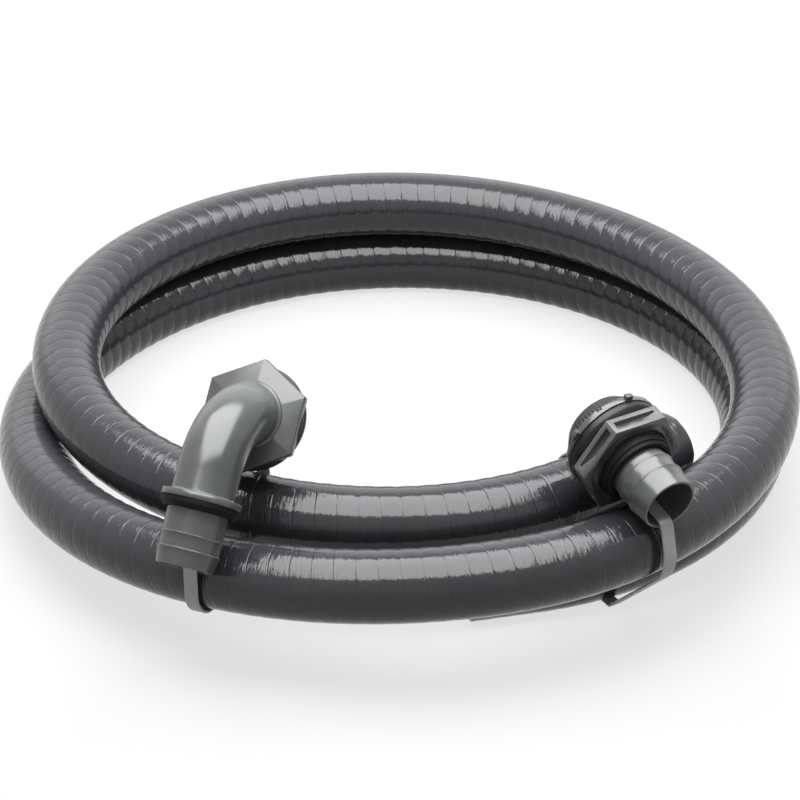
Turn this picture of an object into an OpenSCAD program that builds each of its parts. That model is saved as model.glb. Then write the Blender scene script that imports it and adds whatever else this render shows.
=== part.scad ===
// Sewer hose kit: a coiled waste hose with an elbow fitting and a straight
// fitting, each tied to the coil by a cable tie through its own bore.
// Millimetres, +Z up, standing on z = 0.

/* [Hose] */
// Bore of the hose, which both barbs push into
hose_bore_d = 38; // [34:0.5:42]
// Wall of the hose
hose_wall = 3.5; // [3:0.25:5]
// Ribs that show along the hose
rib_count = 200; // [60:10:200]
// Depth of the groove between two ribs
rib_depth = 0.8; // [0.3:0.1:1.2]

/* [Coil] */
// Radius of the top loop, to the middle of the hose
top_loop_r = 210; // [195:5:240]
// Centre of the top loop, left to right of the low loop's centre
top_loop_x = -15; // [-18:0.5:-12]
// Centre of the top loop, front to back of the low loop's centre
top_loop_y = 30.5; // [28:0.5:33]
// How far the low loop tucks under the top loop, in hose diameters
low_loop_tuck = 0.2; // [0.1:0.01:0.2]
// How much smaller the last loop curls than the low loop
last_loop_inset = 63; // [55:1:70]
// Centre of the last loop, left to right of the low loop's centre
last_loop_x = -3.5; // [-6:0.5:-1]
// Centre of the last loop, front to back of the low loop's centre
last_loop_y = 27; // [24:1:30]
// Air between two layers of hose
layer_gap = 1.3; // [1:0.1:3]
// Turn at which the hose starts, in degrees clockwise from the right
start_turn = 33; // [29:1:37]
// Turn at which the hose ends
end_turn = 799; // [792:1:804]

/* [Elbow fitting] */
// Turn of the top loop that the elbow lies on
elbow_turn = 113; // [108:1:118]
// Compass heading of the elbow's barb
elbow_heading = -112.3; // [-116:0.1:-109]
// Slope of the elbow's barb below level
elbow_dip = 50.7; // [48:0.1:53]
// Height of the flange's gasket over the hose below it
elbow_lift = 7; // [4:0.1:9]
// Flange of the elbow across its flats
elbow_flats = 62; // [58:1:66]
// Straight side wall of the elbow's flange
elbow_rim_t = 6; // [4:0.5:8]
// Rise of the flange's sloping faces to the pipe
elbow_slope_h = 3; // [2:0.5:5]
// Radius of the pipe's bend, to its middle
bend_r = 41; // [38:1:44]
// Straight pipe between the flange's rim and the bend
stem_h = 1; // [0.5:0.5:4]
// Straight pipe between the bend and the collar
collar_run = 16; // [13:0.5:20]
// Width of the collar
collar_t = 4; // [3:0.5:6]
// Length of the threaded spigot behind the gasket
spigot_len = 14; // [10:1:18]

/* [Straight fitting] */
// Turn of the top loop that the straight fitting lies on
straight_turn = 54; // [50:1:58]
// Compass heading of the straight fitting's barb
straight_heading = -58.2; // [-61:0.1:-55]
// Slope of the straight fitting's barb below level
straight_dip = 12.8; // [11:0.1:15]
// Hexagon nut across its flats
nut_flats = 62; // [58:1:66]
// Height of the nut
nut_h = 12; // [10:0.5:14]
// Wall left between the pockets at each corner of the nut
nut_web_t = 3; // [2:0.5:6]
// Height of the pockets round the nut
nut_pocket_h = 4; // [3:0.5:6]
// Diameter of the round flange
flange_d = 64; // [58:1:68]
// Thickness of the round flange
flange_t = 3.8; // [3:0.2:6]
// Lugs round the flange, with a notch midway between each two
lug_count = 5; // [3:1:8]
// Thickness of the gasket between the flange and the nut
straight_gasket_t = 8.5; // [6:0.5:10]
// Diameter of the tapered seal behind the flange
seal_d = 56; // [52:1:60]
// Diameter of the tapered seal at its narrow end
seal_end_d = 43; // [42:0.5:48]
// Length of the tapered seal
seal_len = 13.5; // [11:0.5:16]
// How far the open end reaches past the middle of the second loop
straight_overhang = 16.6; // [12:0.1:19]

/* [Both fittings] */
// Diameter of the pipe thread
thread_d = 47.8; // [46:0.1:50]
// Pitch of the pipe thread
thread_pitch = 2.309; // [1.5:0.1:3]
// Depth of the pipe thread
thread_depth = 1.2; // [0.6:0.1:1.4]
// Wall of the barbs, which sets the bore through the fittings
barb_wall = 2.5; // [1.8:0.1:4]
// Wall of the elbow's pipe
pipe_wall = 3.25; // [2:0.05:4]
// How far the threaded shank stands out of the nut
shank_out = 5; // [3:0.5:7]
// Thickness of the elbow's gasket
gasket_t = 5; // [3:0.5:7]
// Diameter of the elbow's gasket
gasket_d = 65; // [60:1:70]
// Diameter of the collar on the elbow
collar_d = 49; // [46:0.5:54]
// Width of the elbow's barb ring, neck to rim
elbow_ring_w = 5.5; // [3:0.1:7]
// Height of the elbow's barb ring
elbow_ring_h = 6; // [4:0.5:8]
// Width of the straight fitting's barb ring, neck to rim
straight_ring_w = 3.5; // [3:0.1:5]
// Height of the straight fitting's barb ring
straight_ring_h = 4; // [3:0.5:6]
// Plain neck between the elbow's barb ring and its first ridge
elbow_neck_len = 14.5; // [10:0.5:17]
// Plain neck between the straight fitting's barb ring and its first ridge
straight_neck_len = 5.5; // [4:0.5:9]
// Length of each ridge of the elbow's barb: the first, and the last to the open end
elbow_ridges = [9, 10.5]; // [7:0.5:13]
// Length of each ridge of the straight fitting's barb
straight_ridges = [10, 15.5]; // [7:0.5:18]
// How much wider than the hose's bore the ridges are
barb_grip = 1; // [0.5:0.1:2]

/* [Cable ties] */
// Width of the cable ties
tie_w = 9; // [6:0.5:10]
// Thickness of the cable ties
tie_t = 1.5; // [1.2:0.1:2]
// How far the straight fitting's strap bows out from the lower loops
tie_bow = 4.5; // [2:0.5:7]
// Length of a tie's head along the strap
tie_head_len = 9; // [7:0.5:11]
// Height of a tie's head over the strap
tie_head_h = 4.5; // [3:0.5:6]

/* [Hidden] */
$fn = 96;

// clearances
fit_gap = 0.05;     // a ring or nut on its seat, radial
face_gap = 0.2;     // between faces of two bodies
tie_gap = 0.4;      // a strap and what it goes round
seat_gap = 0.5;     // a fitting and the hose it lies on
seal_gap = 0.3;     // a rubber ring round a thread

// hose
hose_d = hose_bore_d + 2 * hose_wall;
hose_r = hose_d / 2;
flat_cut = hose_d / 10;
floor_wall = 1.5;                     // wall left where the underside is flat
hose_sides = 8;
bore_step = 10;                       // turn between two rings of the bore
low_z = hose_r - flat_cut;
top_z = low_z + hose_d + layer_gap;
low_loop_r = top_loop_r + hose_d * (1 - low_loop_tuck);
last_loop_r = low_loop_r - last_loop_inset;
spread_turns = [147, 468];            // top loop eases out to the low loop
inset_turns = [650, 870];             // low loop eases in to the last loop
drop_turns = [435, 573];              // hose comes down to the floor
dent_half_turn = 4;                   // hose lifted over the tie below it
deg_len = PI / 180;
run_turn = hose_d / (top_loop_r * deg_len);
bend_from = start_turn + run_turn;
bend_to = end_turn - run_turn;

// fittings
barb_taper = 0.8;                       // the open end is narrower than the neck by this
barb_ridge_r = hose_bore_d / 2 + barb_grip / 2;
barb_neck_r = hose_bore_d / 2 - barb_grip / 2;
barb_tip_r = barb_neck_r - barb_taper;
bore_r = barb_neck_r - barb_wall;
pipe_r = bore_r + pipe_wall;
barb_rise = stem_h + bend_r;          // barb's axis over the flange's rim
collar_x = bend_r + collar_run;
tail_x = collar_x + collar_t;
elbow_tail = elbow_ring_h + elbow_neck_len + elbow_ridges[0] + elbow_ridges[1];
straight_tail = straight_ring_h + straight_neck_len + straight_ridges[0] + straight_ridges[1];
rim_cut = 1;                          // cut on the rim of a ring or barb
ring_lip = 2;                         // funnel in the front of a barb ring
thread_r = thread_d / 2;
elbow_corner_r = elbow_flats / sqrt(3);
pipe_fillet = 2.5;                    // the flange's slopes end this far from the pipe
nut_corner_r = nut_flats / sqrt(3);
nut_core_r = thread_r + 2.8;
flange_z = -nut_h - straight_gasket_t; // the flange's front face
cap_seat_r = thread_r - 1.9;          // plain end of the shank, under its rubber cap
cap_r = thread_r - 0.3;
cap_front_t = 1;                      // front wall of the cap, over the shank's end
stub_r = bore_r + 3;                  // plain stub that carries the tapered seal
stub_len = seal_len + 0.5;
seal_step = 4.5;                      // straight rim of the seal before its taper
straight_back = flange_z - flange_t - stub_len;
lug_angle = 27;
lug_w = 5;
lug_out = 3;
lug_inset = 0.2;                      // a lug's faces inside the flange's
notch_w = 3.5;
notch_depth = 2;
nut_angle = 30;
corner_dip = 1.2;                     // rounding of the nut's corners

function along(heading) = [cos(heading), sin(heading)];
function across(heading) = [-sin(heading), cos(heading)];
function flat2(p) = [p.x, p.y];
function ease(t, span) =
  let (s = min(1, max(0, (t - span[0]) / (span[1] - span[0])))) s * s * (3 - 2 * s);

// ---- route of the hose ----------------------------------------------------
// Three round loops, each about its own centre, eased one into the next.
function mix3(a, b, c, t) = a + (b - a) * ease(t, spread_turns) + (c - b) * ease(t, inset_turns);
function loose_at(t) =
  let (r = mix3(top_loop_r, low_loop_r, last_loop_r, t))
  [
    mix3(top_loop_x, 0, last_loop_x, t) + r * cos(t),
    mix3(top_loop_y, 0, last_loop_y, t) - r * sin(t),
    top_z + (low_z - top_z) * ease(t, drop_turns)
  ];
function middle(v) = (min(v) + max(v)) / 2;
loose = [for (t = [start_turn:1:end_turn]) loose_at(t)];
centre = [middle([for (p = loose) p.x]), middle([for (p = loose) p.y]), 0];
function loop_at(t) = loose_at(t) - centre;
function loop_slope(t) = loop_at(t + 0.5) - loop_at(t - 0.5);
// The loops, with a straight run of one hose diameter at each end.
function hose_at(t) =
  t < bend_from ? loop_at(bend_from) + (t - bend_from) * loop_slope(bend_from)
  : t > bend_to ? loop_at(bend_to) + (t - bend_to) * loop_slope(bend_to)
  : loop_at(t);
function hose_dir(t) = let (d = hose_at(t + 0.5) - hose_at(t - 0.5)) d / norm(d);

// Turn, between lo and hi, at which the hose crosses an upright plane.
function crossing(p, heading, lo, hi, n = 24) =
  let (mid = (lo + hi) / 2, side = (flat2(hose_at(mid)) - p) * across(heading))
  n == 0 ? mid : side > 0 ? crossing(p, heading, mid, hi, n - 1) : crossing(p, heading, lo, mid, n - 1);

// ---- upright planes of the two fittings --------------------------------------
// In each plane a point is [distance along the heading, height].
elbow_p = flat2(hose_at(elbow_turn));
straight_p = flat2(hose_at(straight_turn));
function in_plane(p, heading, t) = [(flat2(hose_at(t)) - p) * along(heading), hose_at(t).z];
elbow_cross = [for (k = [0, 1]) crossing(elbow_p, elbow_heading, elbow_turn + 360 * k - 20,
  elbow_turn + 360 * k + 20)];
straight_cross = [for (k = [0, 1, 2]) crossing(straight_p, straight_heading,
  straight_turn + 360 * k - 20, straight_turn + 360 * k + 20)];
elbow_tubes = [for (t = elbow_cross) in_plane(elbow_p, elbow_heading, t)];
straight_tubes = [for (t = straight_cross) in_plane(straight_p, straight_heading, t)];

// How far the eight-sided hose reaches in a direction square to its run
function hose_reach(angle) = hose_r * cos(angle % (360 / hose_sides) - 180 / hose_sides);
elbow_rest_r = (barb_ridge_r + barb_tip_r) / 2;
straight_rest_r = barb_ridge_r - 0.3;

// How far to the side a circle is met at a height over its middle, 0 at its top and above
function side_of(r, height) = sqrt(max(0, r * r - height * height));

// Elbow: its barb lies on the low loop, its gasket is elbow_lift over the top loop.
elbow_out = [sin(elbow_dip), cos(elbow_dip)];
elbow_down = [cos(elbow_dip), -sin(elbow_dip)];
elbow_n = hose_reach(90 - elbow_dip) + seat_gap + elbow_rest_r - barb_rise
  + elbow_tubes[1] * elbow_out;
elbow_edge = elbow_n - elbow_rim_t - gasket_t - elbow_tubes[0] * elbow_out;
elbow_b = elbow_tubes[0] * elbow_down - elbow_corner_r - side_of(hose_r + elbow_lift, elbow_edge);
elbow_c = elbow_n * elbow_out + elbow_b * elbow_down;

// Straight fitting: its barb lies across the second loop.
straight_out = [cos(straight_dip), -sin(straight_dip)];
straight_up = [sin(straight_dip), cos(straight_dip)];
straight_rise = hose_reach(90 - straight_dip) + seat_gap + straight_rest_r
  + straight_tubes[1] * straight_up;
straight_reach = straight_tubes[1] * straight_out + straight_overhang - shank_out - straight_tail;
straight_c = straight_rise * straight_up + straight_reach * straight_out;

module at_elbow() {
  xy = elbow_p + elbow_c[0] * along(elbow_heading);
  translate([xy.x, xy.y, elbow_c[1]])
    rotate([0, elbow_dip, elbow_heading])
      children();
}

module at_straight() {
  xy = straight_p + straight_c[0] * along(straight_heading);
  translate([xy.x, xy.y, straight_c[1]])
    rotate([0, 90 + straight_dip, straight_heading])
      children();
}

// ---- hose --------------------------------------------------------------------
function floor_at(t) = abs(t - straight_cross[2]) < dent_half_turn ? tie_t + tie_gap : 0;
function hose_ring(t, r, floor_z) =
  let (
    p = hose_at(t),
    d = hose_dir(t),
    side = cross(d, [0, 0, 1]) / norm(cross(d, [0, 0, 1])),
    up = cross(side, d)
  )
  [for (k = [0:hose_sides - 1])
    let (a = (k + 0.5) * 360 / hose_sides, q = p + r * (cos(a) * side + sin(a) * up))
    [q.x, q.y, max(q.z, floor_z)]];
function skin_faces(first, rings, flip) =
  [for (i = [0:rings - 2], k = [0:hose_sides - 1])
    let (
      a = first + i * hose_sides + k,
      b = first + i * hose_sides + (k + 1) % hose_sides,
      c = a + hose_sides,
      d = b + hose_sides
    )
    each flip ? [[a, c, b], [b, c, d]] : [[a, b, c], [b, d, c]]];
function end_faces(outer, inner, flip) =
  [for (k = [0:hose_sides - 1])
    let (a = outer + k, b = outer + (k + 1) % hose_sides, c = inner + k, d = inner + (k + 1) % hose_sides)
    each flip ? [[a, b, c], [b, d, c]] : [[a, c, b], [b, c, d]]];

skin_rings = 2 * rib_count + 1;
bore_rings = ceil((end_turn - start_turn) / bore_step) + 1;
function turn_of(i, rings) = start_turn + (end_turn - start_turn) * i / (rings - 1);

module hose() {
  skin = [for (i = [0:skin_rings - 1])
    let (t = turn_of(i, skin_rings))
    each hose_ring(t, hose_r - rib_depth * (i % 2), floor_at(t))];
  bore = [for (i = [0:bore_rings - 1])
    let (t = turn_of(i, bore_rings))
    each hose_ring(t, hose_bore_d / 2, floor_wall)];
  bore_from = len(skin);
  color("dimgray")
    polyhedron(
      points = concat(skin, bore),
      faces = concat(
        skin_faces(0, skin_rings, false),
        skin_faces(bore_from, bore_rings, true),
        end_faces(0, bore_from, false),
        end_faces((skin_rings - 1) * hose_sides, bore_from + (bore_rings - 1) * hose_sides, true)
      )
    );
}

// Least gap of the hose to its own next turn, on points every two degrees
self_gap = min([for (a = [start_turn:2:end_turn - 180], b = [a + 180:2:end_turn])
  norm(hose_at(a) - hose_at(b))]) - hose_d;
steps = [for (t = [start_turn:1:end_turn - 1]) norm(hose_at(t + 1) - hose_at(t))];
echo(least_gap_of_hose_to_itself = self_gap, hose_length = steps * [for (s = steps) 1]);

// ---- parts of both fittings ------------------------------------------------------
// Hose tail from its ring seat at z = 0 to the open end, around +Z.
module tail(seat_h, neck_len, ridges) {
  z1 = seat_h + neck_len;
  z2 = z1 + ridges[0];
  z3 = z2 + ridges[1];
  rotate_extrude()
    polygon([
      [bore_r, 0], [barb_neck_r, 0], [barb_neck_r, z1], [barb_ridge_r, z1], [barb_neck_r, z2],
      [barb_ridge_r, z2], [barb_tip_r, z3 - rim_cut], [barb_tip_r - rim_cut / 2, z3], [bore_r, z3]
    ]);
}

// Rubber ring on the neck, funnelled towards the open end.
module barb_ring(w, h) {
  inner = barb_neck_r + fit_gap;
  outer = barb_neck_r + w;
  rotate_extrude()
    polygon([
      [inner, 0], [outer, 0], [outer, h - rim_cut], [outer - rim_cut, h],
      [inner + ring_lip, h], [inner, h - ring_lip]
    ]);
}

// Threaded tube from z = 0 to z = h, its thread as grooves cut round it.
module threaded_tube(h) {
  turns = floor((h - 1) / thread_pitch);
  rotate_extrude()
    polygon(concat(
      [[bore_r, 0], [thread_r, 0]],
      [for (i = [0:turns - 1])
        let (z = 0.5 + i * thread_pitch)
        each [
          [thread_r, z],
          [thread_r - thread_depth, z + thread_pitch / 2],
          [thread_r, z + thread_pitch * 0.9]
        ]],
      [[thread_r, h], [bore_r, h]]
    ));
}

// ---- elbow fitting ------------------------------------------------------------------
// Its own frame has the flange's rim at z = 0, facing +Z, and the barb along +X.
module elbow_body() {
  color("#8d9390") at_elbow() {
    difference() {
      union() {
        translate([0, 0, -elbow_rim_t])
          cylinder(h = elbow_rim_t, r = elbow_corner_r, $fn = 6);
        cylinder(h = elbow_slope_h, r1 = elbow_corner_r - 0.4, r2 = pipe_r + pipe_fillet, $fn = 6);
        cylinder(h = stem_h, r = pipe_r);
        translate([bend_r, 0, stem_h])
          rotate([90, 0, 0])
            rotate([0, 0, 90])
              rotate_extrude(angle = 90)
                translate([bend_r, 0])
                  circle(r = pipe_r);
        translate([bend_r, 0, barb_rise])
          rotate([0, 90, 0])
            cylinder(h = collar_run, r = pipe_r);
        translate([collar_x, 0, barb_rise])
          rotate([0, 90, 0])
            cylinder(h = collar_t, d = collar_d);
      }
      translate([0, 0, -elbow_rim_t - 1])
        cylinder(h = elbow_rim_t + 1 + stem_h, r = bore_r);
      translate([bend_r, 0, stem_h])
        rotate([90, 0, 0])
          rotate([0, 0, 90])
            rotate_extrude(angle = 90)
              translate([bend_r, 0])
                circle(r = bore_r);
      translate([bend_r, 0, barb_rise])
        rotate([0, 90, 0])
          cylinder(h = collar_run + collar_t + 1, r = bore_r);
    }
    translate([tail_x, 0, barb_rise])
      rotate([0, 90, 0])
        tail(elbow_ring_h, elbow_neck_len, elbow_ridges);
    translate([0, 0, -elbow_rim_t])
      rotate([180, 0, 0])
        threaded_tube(gasket_t + spigot_len);
  }
}

// Flat rubber gasket with a rounded rim
module elbow_flange_gasket() {
  inner = thread_r + seal_gap;
  outer = gasket_d / 2;
  edge = gasket_t * 0.3;
  color("#1c1c1e") at_elbow()
    translate([0, 0, -elbow_rim_t - gasket_t])
      rotate_extrude()
        polygon([
          [inner, 0], [outer - edge, 0], [outer, edge], [outer, gasket_t - edge],
          [outer - edge, gasket_t], [inner, gasket_t]
        ]);
}

module elbow_tail_ring() {
  color("#3a3836") at_elbow()
    translate([tail_x, 0, barb_rise])
      rotate([0, 90, 0])
        barb_ring(elbow_ring_w, elbow_ring_h);
}

// ---- straight fitting -----------------------------------------------------------------
// Its own frame has the nut's front face at z = 0 and the barb along +Z.
module straight_body() {
  pitch_angle = 360 / lug_count;
  color("#8d9390") at_straight() {
    translate([0, 0, shank_out])
      tail(straight_ring_h, straight_neck_len, straight_ridges);
    translate([0, 0, flange_z])
      threaded_tube(-flange_z);
    difference() {
      cylinder(h = shank_out, r = cap_seat_r);
      translate([0, 0, -1])
        cylinder(h = shank_out + 2, r = bore_r);
    }
    translate([0, 0, flange_z - flange_t])
      difference() {
        union() {
          cylinder(h = flange_t, d = flange_d);
          for (k = [0:lug_count - 1])
            rotate(lug_angle + k * pitch_angle)
              translate([flange_d / 2 - 1, -lug_w / 2, lug_inset])
                cube([lug_out + 1, lug_w, flange_t - 2 * lug_inset]);
        }
        for (k = [0:lug_count - 1])
          rotate(lug_angle + (k + 0.5) * pitch_angle)
            translate([flange_d / 2 - notch_depth, -notch_w / 2, -1])
              cube([notch_depth + 1, notch_w, flange_t / 2 + 1]);
        translate([0, 0, -1])
          cylinder(h = flange_t + 2, r = bore_r);
      }
    translate([0, 0, straight_back])
      difference() {
        cylinder(h = stub_len, r = stub_r);
        translate([0, 0, -1])
          cylinder(h = stub_len + 2, r = bore_r);
      }
  }
}

// Thick gasket, straight against the flange and tapered towards the nut
module straight_gasket() {
  inner = thread_r + seal_gap;
  outer = flange_d / 2 - 0.5;
  step = straight_gasket_t / 2;
  edge = step * 0.2;
  color("#1c1c1e") at_straight()
    translate([0, 0, flange_z])
      rotate_extrude()
        polygon([
          [inner, face_gap], [outer - edge, face_gap], [outer, face_gap + edge],
          [outer, step - edge], [outer - edge, step], [outer - step, straight_gasket_t],
          [inner, straight_gasket_t]
        ]);
}

// Rubber seal on the stub behind the flange, tapered towards the back
module straight_back_seal() {
  inner = stub_r + seal_gap;
  wide = seal_d / 2;
  narrow = seal_end_d / 2;
  color("#2b2b2d") at_straight()
    translate([0, 0, flange_z - flange_t - face_gap])
      rotate([180, 0, 0])
        rotate_extrude()
          polygon([
            [inner, 0], [wide - 1, 0], [wide, 1], [wide, seal_step - 1], [wide - 1, seal_step],
            [narrow, seal_len - 1], [narrow - 1, seal_len], [inner, seal_len]
          ]);
}

module straight_nut() {
  h = nut_h - face_gap;
  color("#6f7170") at_straight()
    translate([0, 0, -h])
      rotate(nut_angle)
        difference() {
          intersection() {
            cylinder(h = h, r = nut_corner_r, $fn = 6);
            cylinder(h = h, r = nut_corner_r - corner_dip / 4);
          }
          translate([0, 0, -1])
            cylinder(h = h + 2, r = thread_r + fit_gap);
          difference() {
            translate([0, 0, (h - nut_pocket_h) / 2])
              cylinder(h = nut_pocket_h, r = nut_corner_r + 1);
            cylinder(h = h, r = nut_core_r);
            for (k = [0:5])
              rotate(60 * k)
                translate([0, -nut_web_t / 2, 0])
                  cube([nut_corner_r + 2, nut_web_t, h]);
          }
        }
}

// Rubber cap over the plain end of the shank, with a smaller ring round the neck
module straight_tail_ring() {
  neck = barb_neck_r + fit_gap;
  ring = barb_neck_r + straight_ring_w;
  z1 = shank_out + cap_front_t;
  z2 = shank_out + straight_ring_h;
  color("#3a3836") at_straight()
    rotate_extrude()
      polygon([
        [cap_seat_r + fit_gap, face_gap], [cap_r, face_gap], [cap_r, z1 - rim_cut], [cap_r - rim_cut, z1],
        [ring, z1], [ring, z2 - rim_cut], [ring - rim_cut, z2], [neck + ring_lip / 2, z2],
        [neck, z2 - ring_lip / 2], [neck, shank_out + fit_gap], [cap_seat_r + fit_gap, shank_out + fit_gap]
      ]);
}

// ---- cable ties --------------------------------------------------------------------------
// A strap goes round a set of discs, each [place in the plane, radius]. Its outline has,
// for every direction, the point that lies furthest out on any of them.
tie_step = 4;
elbow_bow = 1.5;        // the elbow's strap bows out to the front by this
tie_slack = 0.5;        // and a bowed strap is this slack round the hose
elbow_rim_r = 8;        // bend of the elbow's strap over the rim of a bore
elbow_rim_back = 6;     // and its middle's distance back from the bore's mouth
elbow_strap_lift = 6.7; // the elbow's strap over the bore's wall
straight_rim_r = 2.5;   // the same three of the straight fitting's strap
straight_rim_back = 1.5;
straight_strap_lift = 1.5;

function disc_point(disc, grow, n, floor_z) =
  let (r = disc[1] + grow, p = disc[0] + r * n)
  p[1] >= floor_z ? p
  : [disc[0][0] + sign(n[0]) * sqrt(max(0, r * r - pow(disc[0][1] - floor_z, 2))), floor_z];
function furthest(points, n) =
  let (reach = [for (p = points) p * n], best = max(reach))
  [for (i = [0:len(points) - 1]) if (reach[i] == best) points[i]][0];
function strap_line(discs, grow, floor_z) =
  [for (a = [0:tie_step:359])
    let (n = [cos(a), sin(a)])
    furthest([for (d = discs) disc_point(d, grow, n, floor_z)], n)];

module strap(discs) {
  linear_extrude(height = tie_w, center = true)
    difference() {
      polygon(strap_line(discs, tie_gap + tie_t, 0));
      polygon(strap_line(discs, tie_gap, tie_t));
    }
}

// Head of a tie, on the side of the loop that faces the middle of the coil.
module tie_head(discs) {
  reach = [for (d = discs) d[1] - d[0][0]];
  last = [for (d = discs) if (d[1] - d[0][0] == max(reach)) d[0]][0];
  translate([-max(reach) - tie_gap - tie_t - tie_head_h, last[1] - tie_head_len / 2, -tie_w / 2 - 1])
    cube([tie_head_h + tie_t, tie_head_len, tie_w + 2]);
}

function hose_discs(tubes, bow) = concat(
  [for (t = tubes) [t, hose_r]],
  [for (i = [1:len(tubes) - 1]) [tubes[i] + [bow, 0], hose_r + tie_slack]]
);
function on_elbow(x, z, r) = [elbow_c + x * elbow_down + z * elbow_out, r - tie_gap];
function on_straight(x, z, r) = [straight_c + x * straight_out + z * straight_up, r - tie_gap];

elbow_discs = concat(hose_discs(elbow_tubes, elbow_bow), [
  on_elbow(tail_x + elbow_tail - elbow_rim_back,
    barb_rise - bore_r + elbow_strap_lift - elbow_rim_r, elbow_rim_r),
  on_elbow(bend_r, stem_h, bend_r - bore_r + elbow_strap_lift),
  on_elbow(bore_r - elbow_strap_lift + elbow_rim_r,
    elbow_rim_back - elbow_rim_t - gasket_t - spigot_len, elbow_rim_r)
]);
straight_discs = concat(hose_discs(straight_tubes, tie_bow), [
  on_straight(shank_out + straight_tail - straight_rim_back,
    straight_strap_lift - bore_r - straight_rim_r, straight_rim_r),
  on_straight(straight_rim_back + straight_back,
    straight_strap_lift - bore_r - straight_rim_r, straight_rim_r)
]);

module upright(p, heading) {
  translate([p.x, p.y, 0])
    rotate([90, 0, heading])
      children();
}

module tie_elbow() {
  color("#c9c6bd") upright(elbow_p, elbow_heading) {
    strap(elbow_discs);
    tie_head(elbow_discs);
  }
}

module tie_straight() {
  color("#c9c6bd") upright(straight_p, straight_heading) {
    strap(straight_discs);
    tie_head(straight_discs);
  }
}

hose();
elbow_body();
elbow_flange_gasket();
elbow_tail_ring();
straight_body();
straight_gasket();
straight_nut();
straight_tail_ring();
straight_back_seal();
tie_elbow();
tie_straight();
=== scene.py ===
"""Sewer hose kit: a coiled, spiral-ribbed waste hose with two barbed fittings tied onto it."""
from math import atan2, cos, pi, radians, sin, sqrt

import bmesh
import bpy
import numpy as np
from mathutils import Matrix, Vector


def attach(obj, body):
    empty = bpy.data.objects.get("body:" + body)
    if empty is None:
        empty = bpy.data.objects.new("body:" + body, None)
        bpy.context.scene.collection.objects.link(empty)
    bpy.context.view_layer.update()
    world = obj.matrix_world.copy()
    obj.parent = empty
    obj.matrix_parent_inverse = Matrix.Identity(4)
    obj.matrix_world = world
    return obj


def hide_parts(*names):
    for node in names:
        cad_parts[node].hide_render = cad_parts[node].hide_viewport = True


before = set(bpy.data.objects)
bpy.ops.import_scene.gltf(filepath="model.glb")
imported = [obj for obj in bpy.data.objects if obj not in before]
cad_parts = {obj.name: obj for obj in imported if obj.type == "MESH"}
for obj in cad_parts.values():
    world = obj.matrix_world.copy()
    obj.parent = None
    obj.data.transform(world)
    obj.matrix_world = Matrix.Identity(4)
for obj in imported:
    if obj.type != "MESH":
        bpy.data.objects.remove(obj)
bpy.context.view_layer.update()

MM = 0.001

# ---- sizes, in millimetres and degrees, after the part's source --------------------------
HOSE_R, HOSE_BORE_R = 22.5, 19.0
SPIRAL_PITCH = 12.6
TOP_Z, LOW_Z = 64.3, 18.0
START_TURN, END_TURN = 33.0, 799.0
COIL_CENTRE = (-6.56265, 0.288603)
# top loop, low loop and tucked end: radius and middle of each
LOOP_R = (210.0, 246.0, 183.0)
LOOP_X = (-15.0, 0.0, -3.5)
LOOP_Y = (30.5, 0.0, 27.0)
# turns over which the hose spreads to the low loop, tucks in again, and comes down
SPREAD_TURNS, TUCK_TURNS, DROP_TURNS = (147, 468), (650, 870), (435, 573)

ELBOW_TURN, ELBOW_HEADING, ELBOW_DIP = 113.0, -112.3, 50.7
ELBOW_AT = (-88.4977, -158.235, 127.09)
STRAIGHT_TURN, STRAIGHT_HEADING, STRAIGHT_DIP = 54.0, -58.2, 12.8
STRAIGHT_AT = (141.798, -182.906, 110.322)

BORE_R, PIPE_R = 16.0, 19.25
NECK_R, RIDGE_R, TIP_R = 18.5, 19.5, 17.7
THREAD_ROOT_R, THREAD_RIDGE, THREAD_PITCH = 22.55, 1.15, 2.309
ELBOW_FLATS, NUT_FLATS = 62.0, 61.4
# the elbow's middle line: straight up, round the bend, then along the tail, with its collar
BEND_R, BARB_RISE = 41.0, 42.0
STRAIGHT_UP, BEND_LEN = BARB_RISE - BEND_R, BEND_R * pi / 2
BEND_END = STRAIGHT_UP + BEND_LEN
COLLAR_AT, COLLAR_LEN, BELOW_COLLAR = 16.0, 4.0, 40.0


# ---- small mesh tools --------------------------------------------------------------------
def smooth_step(t, low, high):
    s = np.clip((np.asarray(t, float) - low) / (high - low), 0, 1)
    return s * s * (3 - 2 * s)


def put_in_scene(name, data):
    """An object for finished mesh, camera or lamp data."""
    thing = bpy.data.objects.new(name, data)
    bpy.context.scene.collection.objects.link(thing)
    return thing


def discard(piece):
    mesh = piece.data
    bpy.data.objects.remove(piece)
    bpy.data.meshes.remove(mesh)


def face_outwards(mesh, weld=None):
    """Turns every face outwards. weld, in metres, first merges points that lie so close."""
    bm = bmesh.new()
    bm.from_mesh(mesh)
    if weld:
        bmesh.ops.remove_doubles(bm, verts=bm.verts, dist=weld)
    bmesh.ops.recalc_face_normals(bm, faces=bm.faces)
    bm.to_mesh(mesh)
    bm.free()


def smooth_faces(mesh, crisp_from=34):
    """Shades a mesh smooth, and leaves edges sharper than an angle crisp."""
    mesh.shade_smooth()
    mesh.set_sharp_from_angle(angle=radians(crisp_from))


def new_piece(name, vertices, faces, place=None, material=None, smooth=True):
    """A mesh object from vertices in millimetres, put in place by moving its vertices."""
    mesh = bpy.data.meshes.new(name)
    mesh.from_pydata([tuple(float(c) * MM for c in v) for v in vertices], [], [list(f) for f in faces])
    if place is not None:
        mesh.transform(place)
    face_outwards(mesh, weld=1e-6)
    if smooth:
        smooth_faces(mesh)
    else:
        mesh.shade_flat()
    if material:
        mesh.materials.append(material)
    return put_in_scene(name, mesh)


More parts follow.
